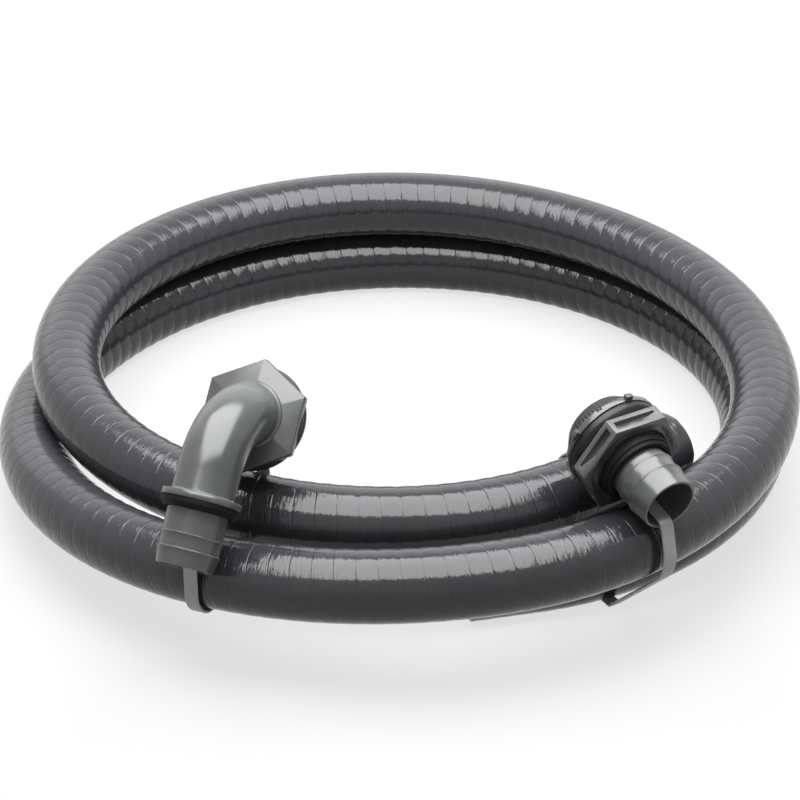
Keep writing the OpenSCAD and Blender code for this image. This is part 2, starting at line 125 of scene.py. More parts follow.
def soften(points, size, steps=3):
    """A closed outline with each corner rounded by a short curve.

    size is one length for every corner, or a list with one for each.
    """
    sizes = size if isinstance(size, (list, tuple)) else [size] * len(points)
    out = []
    for i, point in enumerate(points):
        p = np.array(point, float)
        a = np.array(points[i - 1], float)
        b = np.array(points[(i + 1) % len(points)], float)
        back, on = a - p, b - p
        reach = min(sizes[i], 0.45 * np.linalg.norm(back), 0.45 * np.linalg.norm(on))
        if reach < 0.02:  # too short to round
            out.append(tuple(p))
            continue
        p0 = p + back / np.linalg.norm(back) * reach
        p1 = p + on / np.linalg.norm(on) * reach
        for k in range(steps + 1):
            t = k / steps
            out.append(tuple((1 - t) ** 2 * p0 + 2 * t * (1 - t) * p + t * t * p1))
    return out


def lathe(outline, sides=96):
    """Vertices and faces of a closed outline of (radius, height) turned about +Z."""
    n = len(outline)
    vertices, faces = [], []
    for k in range(sides):
        a = 2 * pi * k / sides
        vertices += [(r * cos(a), r * sin(a), z) for r, z in outline]
    for k in range(sides):
        k2 = (k + 1) % sides
        for i in range(n):
            j = (i + 1) % n
            faces.append((k * n + i, k2 * n + i, k2 * n + j, k * n + j))
    return vertices, faces


def ringed(rings):
    """A closed wall through rings of points, the last joined to the first."""
    n, sides = len(rings), len(rings[0])
    vertices = [v for ring in rings for v in ring]
    faces = []
    for i in range(n):
        j = (i + 1) % n
        for k in range(sides):
            k2 = (k + 1) % sides
            faces.append((i * sides + k, i * sides + k2, j * sides + k2, j * sides + k))
    return vertices, faces


def hexagon(corner_r, z):
    return [(corner_r * cos(pi / 3 * k), corner_r * sin(pi / 3 * k), z) for k in range(6)]


def box(xs, ys, zs):
    """A box between two places on each axis."""
    faces = [(0, 1, 3, 2), (4, 6, 7, 5), (0, 4, 5, 1), (2, 3, 7, 6), (0, 2, 6, 4), (1, 5, 7, 3)]
    return [(x, y, z) for x in xs for y in ys for z in zs], faces


def joined(*parts):
    """One vertex and face list from several."""
    vertices, faces = [], []
    for part_vertices, part_faces in parts:
        base = len(vertices)
        vertices += list(part_vertices)
        faces += [tuple(base + i for i in face) for face in part_faces]
    return vertices, faces


def moved(part, z=0.0, matrix=None):
    """Vertex and face lists raised by z, or placed by a matrix."""
    vertices, faces = part
    if matrix is not None:
        return [tuple(matrix @ Vector(v)) for v in vertices], faces
    return [(x, y, h + z) for x, y, h in vertices], faces


def settled_mesh(piece):
    """A piece's mesh with its modifiers carried out."""
    bpy.context.view_layer.update()
    return bpy.data.meshes.new_from_object(piece.evaluated_get(bpy.context.evaluated_depsgraph_get()))


def make_plain(piece, modifier):
    """Carries out a piece's modifier and leaves a plain mesh."""
    mesh = settled_mesh(piece)
    piece.modifiers.remove(modifier)
    old, piece.data = piece.data, mesh
    bpy.data.meshes.remove(old)
    return piece


def bevelled(piece, width, segments=2, angle=35):
    """Rounds the edges of a piece that are sharper than an angle."""
    modifier = piece.modifiers.new("rounded_edges", "BEVEL")
    modifier.width = width * MM
    modifier.segments = segments
    modifier.limit_method = "ANGLE"
    modifier.angle_limit = radians(angle)
    modifier.harden_normals = False
    return make_plain(piece, modifier)


def cut_away(piece, cutter):
    """Takes the cutter's shape out of a piece."""
    modifier = piece.modifiers.new("cut", "BOOLEAN")
    modifier.operation = "DIFFERENCE"
    modifier.solver = "EXACT"
    modifier.object = cutter
    make_plain(piece, modifier)
    discard(cutter)
    return piece


def joined_pieces(name, pieces, place):
    """One object of several pieces of one material, put in place by moving its vertices."""
    bm = bmesh.new()
    for piece in pieces:
        bm.from_mesh(piece.data)
    mesh = bpy.data.meshes.new(name)
    bm.to_mesh(mesh)
    bm.free()
    mesh.materials.append(pieces[0].data.materials[0])
    for piece in pieces:
        discard(piece)
    smooth_faces(mesh)
    mesh.transform(place)
    return put_in_scene(name, mesh)


def place_on(at, heading, tilt):
    """From a fitting's own frame to the coil's, in metres."""
    return (
        Matrix.Translation(Vector(at) * MM)
        @ Matrix.Rotation(radians(heading), 4, "Z")
        @ Matrix.Rotation(radians(tilt), 4, "Y")
    )


elbow_place = place_on(ELBOW_AT, ELBOW_HEADING, ELBOW_DIP)
straight_place = place_on(STRAIGHT_AT, STRAIGHT_HEADING, 90 + STRAIGHT_DIP)


# ---- camera ------------------------------------------------------------------------------
def make_camera():
    elevation, distance, roll = radians(30.8), 2177.0, radians(0.3)
    target = Vector((3.06, 3.71, 42.1))
    where = (target + distance * Vector((0, -cos(elevation), sin(elevation)))) * MM
    data = bpy.data.cameras.new("camera")
    data.sensor_width = 36
    data.lens = 148.46
    data.shift_x = -0.0026
    data.clip_end = 50
    camera = put_in_scene("camera", data)
    camera.matrix_world = (
        Matrix.Translation(where)
        @ Matrix.Rotation(pi / 2 - elevation, 4, "X")
        @ Matrix.Rotation(roll, 4, "Z")
    )
    bpy.context.scene.camera = camera


make_camera()


# ---- route of the hose -------------------------------------------------------------------
def loose_at(t):
    """The loops' middle line, before the hose's ends are made straight."""
    t = np.asarray(t, float)
    spread, tuck = smooth_step(t, *SPREAD_TURNS), smooth_step(t, *TUCK_TURNS)

    def mix(sizes):
        top, low, last = sizes
        return top + (low - top) * spread + (last - low) * tuck

    a = np.radians(t)
    x = mix(LOOP_X) + mix(LOOP_R) * np.cos(a) - COIL_CENTRE[0]
    y = mix(LOOP_Y) - mix(LOOP_R) * np.sin(a) - COIL_CENTRE[1]
    return np.stack([x, y, TOP_Z + (LOW_Z - TOP_Z) * smooth_step(t, *DROP_TURNS)], -1)


def hose_at(t):
    """The hose's middle line; each end runs straight for one hose diameter."""
    t = np.asarray(t, float)
    run = 2 * HOSE_R / (LOOP_R[0] * pi / 180)
    first, last = START_TURN + run, END_TURN - run
    p = loose_at(t)
    for limit, beyond in ((first, t < first), (last, t > last)):
        slope = loose_at(limit + 0.5) - loose_at(limit - 0.5)
        line = loose_at(limit) + (t - limit)[..., None] * slope
        p = np.where(beyond[..., None], line, p)
    return p


def route(step=0.25):
    """Points along the hose, the length up to each, and its side and up directions there."""
    p = hose_at(np.arange(START_TURN, END_TURN + step / 2, step))
    length = np.concatenate([[0], np.cumsum(np.linalg.norm(np.diff(p, axis=0), axis=1))])
    d = np.gradient(p, axis=0)
    d /= np.linalg.norm(d, axis=1)[:, None]
    side = np.cross(d, [0, 0, 1])
    side /= np.linalg.norm(side, axis=1)[:, None]
    return p, length, side, np.cross(side, d)


LINE, LENGTH, SIDE, UP = route()
HOSE_LEN = float(LENGTH[-1])

# where the hose lies, its skin and its bore are pressed flat at these heights
FLAT_Z, BORE_FLAT_Z = 0.05, 1.5


def around_line(s, angle, r, lowest=FLAT_Z):
    """Points at lengths s, at angles about the middle line (0 is the inside of the coil) and radii r."""
    axes = []
    for k in range(3):
        middle, side, up = (np.interp(s, LENGTH, line[:, k]) for line in (LINE, SIDE, UP))
        axes.append(middle + r * (np.cos(angle) * side + np.sin(angle) * up))
    points = np.stack(axes, -1)
    points[..., 2] = np.maximum(points[..., 2], lowest)
    return points


# ---- hose --------------------------------------------------------------------------------
AROUND = 44
# rows of points on one rib, from seam to seam, as shares of the pitch
RIB_ROWS = [0.0, 0.04, 0.13, 0.30, 0.50, 0.70, 0.87, 0.96]
# depths on the outside of the bend, and what the squeeze adds on its inside
CROWN, CROWN_SQUEEZED = 0.09, 0.34
SEAM, SEAM_SQUEEZED = 0.03, 0.08
SEAM_WIDTH = 0.035
# how far the outer and inner edges of the cut ends are broken
CUT_EDGE, BORE_LIP = 0.6, 0.5


def rib_depth(phase, angle):
    """Depth of the skin below the hose's full radius: a low crown on each rib, and a thin seam."""
    f = phase - np.floor(phase)
    squeeze = 0.5 + 0.5 * np.cos(angle)
    crown = (CROWN + CROWN_SQUEEZED * squeeze**3) * (0.5 + 0.5 * np.cos(2 * pi * f))
    near = np.minimum(f, 1 - f)
    seam = (SEAM + SEAM_SQUEEZED * squeeze**2) * np.exp(-((near / SEAM_WIDTH) ** 2))
    return crown + seam


def hose_shell():
    """Skin, cut ends and bore: vertices, faces, and each vertex's length along and turn about the hose."""
    angle = 2 * pi * np.arange(AROUND) / AROUND
    pitches = int(np.ceil(HOSE_LEN / SPIRAL_PITCH)) + 2
    phase = (np.arange(pitches)[:, None] + np.array(RIB_ROWS)[None, :]).ravel()
    s = SPIRAL_PITCH * (phase[:, None] - angle[None, :] / (2 * pi))
    lap = np.clip(s, 0, HOSE_LEN)
    a = np.broadcast_to(angle, lap.shape)
    skin = around_line(lap, a, HOSE_R - rib_depth(lap / SPIRAL_PITCH + a / (2 * pi), a))

    # one number for each vertex: those before the start and past the end are the end rings'
    at_start, at_end = s <= 1e-6, s >= HOSE_LEN - 1e-6
    inside = ~(at_start | at_end)
    count = int(inside.sum())
    column = np.broadcast_to(np.arange(AROUND), s.shape)
    number = np.empty(s.shape, int)
    number[inside] = np.arange(count)
    number[at_start] = count + column[at_start]
    number[at_end] = count + AROUND + column[at_end]
    faces = []
    for k in range(AROUND):
        k2 = (k + 1) % AROUND
        shift = len(RIB_ROWS) if k2 == 0 else 0
        for i in range(shift, len(phase) - 1):
            quad = (number[i, k], number[i + 1, k], number[i + 1 - shift, k2], number[i - shift, k2])
            unique = list(dict.fromkeys(int(n) for n in quad))
            if len(unique) >= 3:
                faces.append(unique)

    # bore, with its rings closer together near the ends, and the flat cut at each end
    near_end = [0, 1.2, 4, 10, 20, 32, 45]
    rings = near_end + list(np.arange(60, HOSE_LEN - 55, 20)) + [HOSE_LEN - x for x in reversed(near_end)]
    bore_s, bore_a = np.repeat(rings, AROUND), np.tile(angle, len(rings))
    lip = np.where((bore_s < 0.5) | (bore_s > HOSE_LEN - 0.5), BORE_LIP, 0.0)
    bore = around_line(bore_s, bore_a, HOSE_BORE_R + lip, BORE_FLAT_Z)
    base = count + 2 * AROUND
    last = base + (len(rings) - 1) * AROUND
    for row in range(base, last, AROUND):
        for k in range(AROUND):
            k2 = (k + 1) % AROUND
            faces.append((row + k, row + k2, row + AROUND + k2, row + AROUND + k))
    for k in range(AROUND):
        k2 = (k + 1) % AROUND
        faces.append((count + k, count + k2, base + k2, base + k))
        faces.append((count + AROUND + k2, count + AROUND + k, last + k, last + k2))

    rim = np.full(AROUND, HOSE_R - CUT_EDGE)
    ends = [around_line(np.full(AROUND, end), angle, rim) for end in (0.0, HOSE_LEN)]
    along = np.concatenate([s[inside], np.zeros(AROUND), np.full(AROUND, HOSE_LEN), bore_s])
    about = np.concatenate([a[inside], angle, angle, bore_a]) / (2 * pi)
    return np.concatenate([skin[inside], *ends, bore]), faces, along, about


def make_hose(material):
    vertices, faces, along, about = hose_shell()
    mesh = bpy.data.meshes.new("ribbed_hose")
    mesh.from_pydata((vertices * MM).tolist(), [], faces)
    # UV map: pitches along the hose and turns about it, kept whole across each face
    loops = np.empty(len(mesh.loops), int)
    starts, totals = np.empty(len(mesh.polygons), int), np.empty(len(mesh.polygons), int)
    mesh.loops.foreach_get("vertex_index", loops)
    mesh.polygons.foreach_get("loop_start", starts)
    mesh.polygons.foreach_get("loop_total", totals)
    flat = np.stack([along[loops] / SPIRAL_PITCH, about[loops]], 1)
    for start, total in zip(starts, totals):
        turn = flat[start:start + total, 1]
        if turn.max() - turn.min() > 0.5:
            turn[turn < 0.5] += 1.0
    mesh.uv_layers.new(name="along_hose").data.foreach_set("uv", flat.ravel())
    face_outwards(mesh)
    smooth_faces(mesh, crisp_from=50)
    mesh.materials.append(material)
    return put_in_scene("ribbed_hose", mesh)


# ---- node tools --------------------------------------------------------------------------
def add_sockets(tree, inputs, outputs):
    """Inputs as (name, kind, value), and outputs as (name, kind)."""
    for name, kind, value in inputs:
        socket = tree.interface.new_socket(name=name, in_out="INPUT", socket_type="NodeSocket" + kind)
        if value is not None:
            socket.default_value = value
    for name, kind in outputs:
        tree.interface.new_socket(name=name, in_out="OUTPUT", socket_type="NodeSocket" + kind)


def calc(nodes, links, operation, first, second):
    """The result of a math node, each side a number or a socket."""
    node = nodes.new("ShaderNodeMath")
    node.operation = operation
    for socket, value in zip(node.inputs, (first, second)):
        if isinstance(value, float):
            socket.default_value = value
        else:
            links.new(value, socket)
    return node.outputs[0]


# ---- repeated features, as geometry node trees -------------------------------------------
def start_tree(name, inputs):
    """A geometry node tree with a material and other named inputs: the tree, its nodes, links and inputs."""
    tree = bpy.data.node_groups.new(name, "GeometryNodeTree")
    add_sockets(tree, [("Material", "Material", None), *inputs], [("Geometry", "Geometry")])
    return tree, tree.nodes, tree.links, tree.nodes.new("NodeGroupInput").outputs


def end_tree(tree, given, geometry):
    """Makes a tree's geometry real and gives it its material."""
    nodes, links = tree.nodes, tree.links
    real, finish = nodes.new("GeometryNodeRealizeInstances"), nodes.new("GeometryNodeSetMaterial")
    links.new(geometry, real.inputs["Geometry"])
    links.new(real.outputs["Geometry"], finish.inputs["Geometry"])
    links.new(given["Material"], finish.inputs["Material"])
    links.new(finish.outputs["Geometry"], nodes.new("NodeGroupOutput").inputs["Geometry"])
    return tree


def thread_tree():
    """A screw thread: a spiral of a given pitch, swept with a sharp ridge."""
    tree, nodes, links, given = start_tree("screw_thread", [
        ("Turns", "Float", 6.0),
        ("Pitch", "Float", THREAD_PITCH * MM),
        ("Root Radius", "Float", THREAD_ROOT_R * MM),
        ("Ridge", "Float", THREAD_RIDGE * MM),
    ])
    spiral = nodes.new("GeometryNodeCurveSpiral")
    spiral.inputs["Resolution"].default_value = 40
    links.new(given["Turns"], spiral.inputs["Rotations"])
    links.new(given["Root Radius"], spiral.inputs["Start Radius"])
    links.new(given["Root Radius"], spiral.inputs["End Radius"])
    links.new(calc(nodes, links, "MULTIPLY", given["Turns"], given["Pitch"]), spiral.inputs["Height"])
    ridge = nodes.new("GeometryNodeCurvePrimitiveCircle")
    ridge.inputs["Resolution"].default_value = 4
    links.new(given["Ridge"], ridge.inputs["Radius"])
    sweep = nodes.new("GeometryNodeCurveToMesh")
    sweep.inputs["Fill Caps"].default_value = True
    links.new(spiral.outputs["Curve"], sweep.inputs["Curve"])
    links.new(ridge.outputs["Curve"], sweep.inputs["Profile Curve"])
    return end_tree(tree, given, sweep.outputs["Mesh"])


def block_ring_tree():
    """Blocks set at even steps round a circle, each pointing outwards."""
    tree, nodes, links, given = start_tree("ring_of_blocks", [
        ("Count", "Int", 6),
        ("Radius", "Float", 30 * MM),
        ("First Angle", "Float", 0.0),
        ("Block Size", "Vector", (0.01, 0.003, 0.005)),
    ])
    circle = nodes.new("GeometryNodeMeshCircle")
    links.new(given["Count"], circle.inputs["Vertices"])
    links.new(given["Radius"], circle.inputs["Radius"])
    align = nodes.new("FunctionNodeAlignRotationToVector")
    align.axis = "X"
    align.pivot_axis = "Z"
    links.new(nodes.new("GeometryNodeInputPosition").outputs["Position"], align.inputs["Vector"])
    block = nodes.new("GeometryNodeMeshCube")
    links.new(given["Block Size"], block.inputs["Size"])
    spread = nodes.new("GeometryNodeInstanceOnPoints")
    links.new(circle.outputs["Mesh"], spread.inputs["Points"])
    links.new(block.outputs["Mesh"], spread.inputs["Instance"])
    links.new(align.outputs["Rotation"], spread.inputs["Rotation"])
    spin, turn = nodes.new("ShaderNodeCombineXYZ"), nodes.new("GeometryNodeTransform")
    links.new(given["First Angle"], spin.inputs["Z"])
    links.new(spread.outputs["Instances"], turn.inputs["Geometry"])
    links.new(spin.outputs["Vector"], turn.inputs["Rotation"])
    return end_tree(tree, given, turn.outputs["Geometry"])


def grow(tree, **values):
    """What a tree makes with these inputs, as vertex and face lists in millimetres."""
    seed = put_in_scene("seed", bpy.data.meshes.new("seed"))
    modifier = seed.modifiers.new("grow", "NODES")
    modifier.node_group = tree
    named = {item.name: item.identifier for item in tree.interface.items_tree if item.in_out == "INPUT"}
    for name, value in values.items():
        modifier[named[name.replace("_", " ")]] = value
    mesh = settled_mesh(seed)
    lists = [tuple(v.co / MM) for v in mesh.vertices], [tuple(p.vertices) for p in mesh.polygons]
    seed.modifiers.remove(modifier)
    discard(seed)
    bpy.data.meshes.remove(mesh)
    return lists


# ---- materials ---------------------------------------------------------------------------
def grain_group():
    """Moulded grain: a slow mottle and a fine bump, shared by every finish."""
    tree = bpy.data.node_groups.new("moulded_grain", "ShaderNodeTree")
    inputs = [("Grain Size", "Float", 900.0), ("Mottle Size", "Float", 60.0), ("Depth", "Float", 0.2)]
    add_sockets(tree, inputs, [("Mottle", "Float"), ("Normal", "Vector")])
    nodes, links = tree.nodes, tree.links
    enter, leave = nodes.new("NodeGroupInput"), nodes.new("NodeGroupOutput")
    where = nodes.new("ShaderNodeTexCoord")
    grain, mottle = nodes.new("ShaderNodeTexNoise"), nodes.new("ShaderNodeTexNoise")
    for noise, size, detail in ((grain, "Grain Size", 3), (mottle, "Mottle Size", 4)):
        noise.inputs["Detail"].default_value = detail
        links.new(where.outputs["Object"], noise.inputs["Vector"])
        links.new(enter.outputs[size], noise.inputs["Scale"])
    bump = nodes.new("ShaderNodeBump")
    bump.inputs["Distance"].default_value = 0.0002
    links.new(enter.outputs["Depth"], bump.inputs["Strength"])
    links.new(grain.outputs["Fac"], bump.inputs["Height"])
    links.new(mottle.outputs["Fac"], leave.inputs["Mottle"])
    links.new(bump.outputs["Normal"], leave.inputs["Normal"])
    return tree


GRAIN = grain_group()


def new_material(name):
    """A material, its nodes and links, and its shader."""
    material = bpy.data.materials.new(name)
    material.use_nodes = True
    tree = material.node_tree
    return material, tree.nodes, tree.links, tree.nodes["Principled BSDF"]


def grained(nodes, grain_size, mottle_size, depth):
    """What the shared grain puts out at a material's own sizes."""
    skin = nodes.new("ShaderNodeGroup")
    skin.node_tree = GRAIN
    skin.inputs["Grain Size"].default_value = grain_size
    skin.inputs["Mottle Size"].default_value = mottle_size
    skin.inputs["Depth"].default_value = depth
    return skin.outputs


def ramp(nodes, links, source, *stops):
    """A colour ramp fed by a value. A stop is a place and a colour or a grey."""
    node = nodes.new("ShaderNodeValToRGB")
    links.new(source, node.inputs["Fac"])
    elements = node.color_ramp.elements
    while len(elements) < len(stops):
        elements.new(0.5)
    for element, (place, colour) in zip(elements, stops):
        element.position = place
        element.color = (*colour, 1) if isinstance(colour, tuple) else (colour, colour, colour, 1)
    return node.outputs["Color"]


def moulded(name, dark, pale, rough, depth, grain_size=500, mottle_size=50, specular=0.5):
    """A moulded finish: two close shades by the mottle, roughness that varies with it, and a fine grain."""
    material, nodes, links, shader = new_material(name)
    skin = grained(nodes, grain_size, mottle_size, depth)
    shade = ramp(nodes, links, skin["Mottle"], (0.35, dark), (0.65, pale))
    dullness = ramp(nodes, links, skin["Mottle"], (0.3, rough - 0.05), (0.7, rough + 0.05))
    links.new(shade, shader.inputs["Base Color"])
    links.new(dullness, shader.inputs["Roughness"])
    links.new(skin["Normal"], shader.inputs["Normal"])
    shader.inputs["Specular IOR Level"].default_value = specular
    return material


def hose_material():
    """Dark grey PVC, glossy, with a fine crease along the spiral, painted shade along each seam, and faint
    folds across it.
    """
    material, nodes, links, shader = new_material("hose_pvc")
    skin = grained(nodes, grain_size=260, mottle_size=34, depth=0.10)
    uv = nodes.new("ShaderNodeUVMap")
    uv.uv_map = "along_hose"
    split = nodes.new("ShaderNodeSeparateXYZ")
    links.new(uv.outputs["UV"], split.inputs["Vector"])
    # 0 at a seam of the spiral, and 0.5 midway between two
    phase = calc(nodes, links, "ADD", split.outputs["X"], split.outputs["Y"])
    from_seam = calc(nodes, links, "PINGPONG", phase, 0.5)
    # painted shade: the base colour darkens to 0.8 in a thin line along each seam, standing in for the shade
    # in its crease
    seam = ramp(nodes, links, from_seam, (0.0, 0.80), (0.025, 0.95), (0.04, 1.0))
    shade = ramp(nodes, links, skin["Mottle"], (0.35, (0.058, 0.058, 0.066)), (0.65, (0.068, 0.068, 0.077)))
    # multiplies the painted seam shade into the mottled base colour
    mix = nodes.new("ShaderNodeMix")
    mix.data_type = "RGBA"
    mix.blend_type = "MULTIPLY"
    mix.inputs["Factor"].default_value = 1.0
    links.new(shade, mix.inputs["A"])
    links.new(seam, mix.inputs["B"])
    links.new(mix.outputs["Result"], shader.inputs["Base Color"])
    # creases: a shallow dip at each seam and a fainter one midway
    crease = ramp(nodes, links, from_seam,
                  (0.0, 0.0), (0.02, 0.6), (0.045, 1.0), (0.44, 1.0), (0.47, 0.92), (0.5, 0.85))
    dip = nodes.new("ShaderNodeBump")
    dip.inputs["Strength"].default_value = 1.0
    dip.inputs["Distance"].default_value = 0.00013
    links.new(crease, dip.inputs["Height"])
    links.new(skin["Normal"], dip.inputs["Normal"])
    # wrinkles: long thin folds that run round the hose, seen at the edges of the gloss
    stretch = nodes.new("ShaderNodeMapping")
    stretch.inputs["Scale"].default_value = (4.2, 11.0, 1.0)
    links.new(uv.outputs["UV"], stretch.inputs["Vector"])
    wrinkle = nodes.new("ShaderNodeTexNoise")
    wrinkle.inputs["Scale"].default_value = 1.6
    wrinkle.inputs["Detail"].default_value = 4
    links.new(stretch.outputs["Vector"], wrinkle.inputs["Vector"])
    dullness = ramp(nodes, links, wrinkle.outputs["Fac"], (0.35, 0.07), (0.7, 0.13))
    links.new(dullness, shader.inputs["Roughness"])
    fold = nodes.new("ShaderNodeBump")
    fold.inputs["Strength"].default_value = 0.5
    fold.inputs["Distance"].default_value = 0.0006
    links.new(wrinkle.outputs["Fac"], fold.inputs["Height"])
    links.new(dip.outputs["Normal"], fold.inputs["Normal"])
    links.new(fold.outputs["Normal"], shader.inputs["Normal"])
    shader.inputs["Specular IOR Level"].default_value = 0.34
    return material


HOSE_PVC = hose_material()
FITTING = moulded("fitting_plastic", (0.128, 0.136, 0.134), (0.153, 0.161, 0.159),
                  rough=0.22, depth=0.12, grain_size=700, mottle_size=45)
NUT = moulded("nut_plastic", (0.125, 0.131, 0.128), (0.15, 0.156, 0.153),
              rough=0.38, depth=0.3, grain_size=700, mottle_size=45)
GASKET = moulded("gasket_rubber", (0.008, 0.008, 0.009), (0.012, 0.012, 0.013),
                 rough=0.42, depth=0.3, specular=0.3)
RING = moulded("ring_rubber", (0.007, 0.006, 0.0055), (0.011, 0.0095, 0.0085),
               rough=0.6, depth=0.5, specular=0.1)
SEAL = moulded("seal_rubber", (0.013, 0.013, 0.013), (0.020, 0.020, 0.020),
               rough=0.5, depth=0.5, specular=0.3)
TIE = moulded("tie_nylon", (0.67, 0.665, 0.64), (0.73, 0.725, 0.70),
              rough=0.42, depth=0.15, grain_size=800, mottle_size=60)

hose = make_hose(HOSE_PVC)


# ---- fittings, each in its own frame with its axis along Z -------------------------------
THREADS, BLOCKS = thread_tree(), block_ring_tree()


def threaded(name, turns, start):
    """A screw thread that starts at a height on a fitting's pipe."""
    thread = grow(THREADS, Material=FITTING, Turns=turns)
    return new_piece(name, *moved(thread, start), material=FITTING)


def tail_outline(start, neck, first, last):
    """(place, radius) along a hose tail: a neck, two thin raised ridges and a tapered open end."""
    out = [(start, NECK_R)]
    z = start + neck
    for length, low in ((first, NECK_R), (last, TIP_R)):
        out += [(z - 0.35, NECK_R + 0.02), (z - 0.1, NECK_R + 0.35), (z, RIDGE_R - 0.2), (z + 0.25, RIDGE_R),
                (z + 0.8, RIDGE_R - 0.02), (z + 1.3, RIDGE_R - 0.35), (z + 1.7, RIDGE_R - 0.55),
                (z + length * 0.6, (NECK_R + low) / 2 + 0.2)]
        z += length
    return out + [(z - 0.9, TIP_R + 0.02), (z - 0.35, TIP_R - 0.08), (z - 0.08, TIP_R - 0.35),
                  (z, TIP_R - 0.6), (z, BORE_R + 0.4), (z - 0.25, BORE_R + 0.06), (z - 0.6, BORE_R)]


def elbow_ring(s, r, sides=72):
    """Ring about the elbow's middle line; s runs up from its flange, round the bend and along the barb."""
    if s <= STRAIGHT_UP:
        middle, a = Vector((0, 0, s)), 0.0
    elif s >= BEND_END:
        middle, a = Vector((BEND_R + s - STRAIGHT_UP - BEND_LEN, 0, BARB_RISE)), pi / 2
    else:
        a = (s - STRAIGHT_UP) / BEND_R
        middle = Vector((BEND_R - BEND_R * cos(a), 0, STRAIGHT_UP + BEND_R * sin(a)))
    across = Vector((cos(a), 0, -sin(a)))
    return [
        tuple(middle + r * (cos(2 * pi * k / sides) * across + sin(2 * pi * k / sides) * Vector((0, 1, 0))))
        for k in range(sides)
    ]


def make_elbow():
    """Pipe with its spigot, bend, collar and barbed tail; hexagon with a low sloping face; thread."""
    collar = BEND_END + COLLAR_AT
    collar_end = collar + COLLAR_LEN
    outer = [(-25, 16.8), (-25, 22.0), (-24.3, 22.7), (-11.2, 22.7), (-11, 22.4), (-6.2, 22.4), (-5.5, 20.9),
             (1.6, 20.9), (2.4, 21.2), (3.1, 21.35), (3.7, 21.15), (4.1, 20.7), (4.4, 20.1), (4.9, 19.65),
             (5.8, 19.35), (7.2, PIPE_R)]
    outer += [(STRAIGHT_UP + BEND_LEN * k / 26, PIPE_R) for k in range(3, 27)]
    outer += [(collar - 3, PIPE_R), (collar - 1.2, PIPE_R + 0.15), (collar - 0.3, PIPE_R + 0.9),
              (collar, PIPE_R + 1.8), (collar, 23.9), (collar + 0.15, 24.3), (collar + 0.5, 24.5),
              (collar + 3.5, 24.5), (collar + 3.85, 24.3), (collar_end, 23.9), (collar_end, NECK_R)]
    outer += tail_outline(collar + 10, 14.5, 9, 10.5)
    tail_end = collar_end + BELOW_COLLAR
    inner = [(s, BORE_R) for s in (tail_end - 6, tail_end - 20, collar, BEND_END)]
    inner += [(STRAIGHT_UP + BEND_LEN * k / 20, BORE_R) for k in range(19, -1, -1)]
    inner += [(-8, BORE_R), (-24.6, BORE_R), (-25, 16.4)]
    pipe = new_piece("elbow_pipe", *ringed([elbow_ring(s, r) for s, r in outer + inner]), material=FITTING)
    corner = ELBOW_FLATS / sqrt(3)
    sections = ((20.0, -6), (corner, -6), (corner, 0), (22.2, 3), (20.0, 3))
    flange = new_piece("elbow_hexagon", *ringed([hexagon(r, z) for r, z in sections]), material=FITTING)
    bevelled(flange, 0.7, 3, 5)
    thread = threaded("elbow_thread", 5.2, -24.2)
    return joined_pieces("elbow_fitting", [pipe, flange, thread], elbow_place)


def flange_blocks(first_angle, radius, size, z):
    """Five blocks round the straight fitting's flange."""
    blocks = grow(BLOCKS, Material=FITTING, Count=5, Radius=radius * MM, First_Angle=radians(first_angle),
                  Block_Size=tuple(c * MM for c in size))
    return moved(blocks, z)


def make_straight():
    """Pipe with its stub, shank and barbed tail; thread; round flange with notches and lugs."""
    wall = [(BORE_R + 0.4, -38.3), (18.6, -38.3), (19, -37.9), (19, -21), (22.7, -20.4), (22.7, -0.3),
            (22.4, 0), (22, 0), (22, 4.6), (21.6, 5), (NECK_R, 5)]
    wall += [(r, z) for z, r in tail_outline(9, 5.5, 10, 15.5)]
    wall += [(BORE_R, 36), (BORE_R, 20), (BORE_R, 0), (BORE_R, -37.9)]
    body = new_piece("straight_wall", *lathe(wall), material=FITTING)
    thread = threaded("straight_thread", 8.4, -19.6)
    disc = lathe([(18.5, -24.3), (32, -24.3), (32, -20.5), (18.5, -20.5)])
    disc = new_piece("round_flange", *disc, material=FITTING)
    notches = flange_blocks(63, 32.6, (5.2, 3.5, 3.8), -24.3)
    cut_away(disc, new_piece("notch_cutter", *notches, smooth=False))
    bevelled(disc, 0.35, 2, 40)
    lugs = new_piece("flange_lugs", *flange_blocks(27, 32.2, (5.2, 5.0, 3.4), -22.4), material=FITTING)
    bevelled(lugs, 0.4)
    return joined_pieces("straight_fitting", [body, thread, disc, lugs], straight_place)


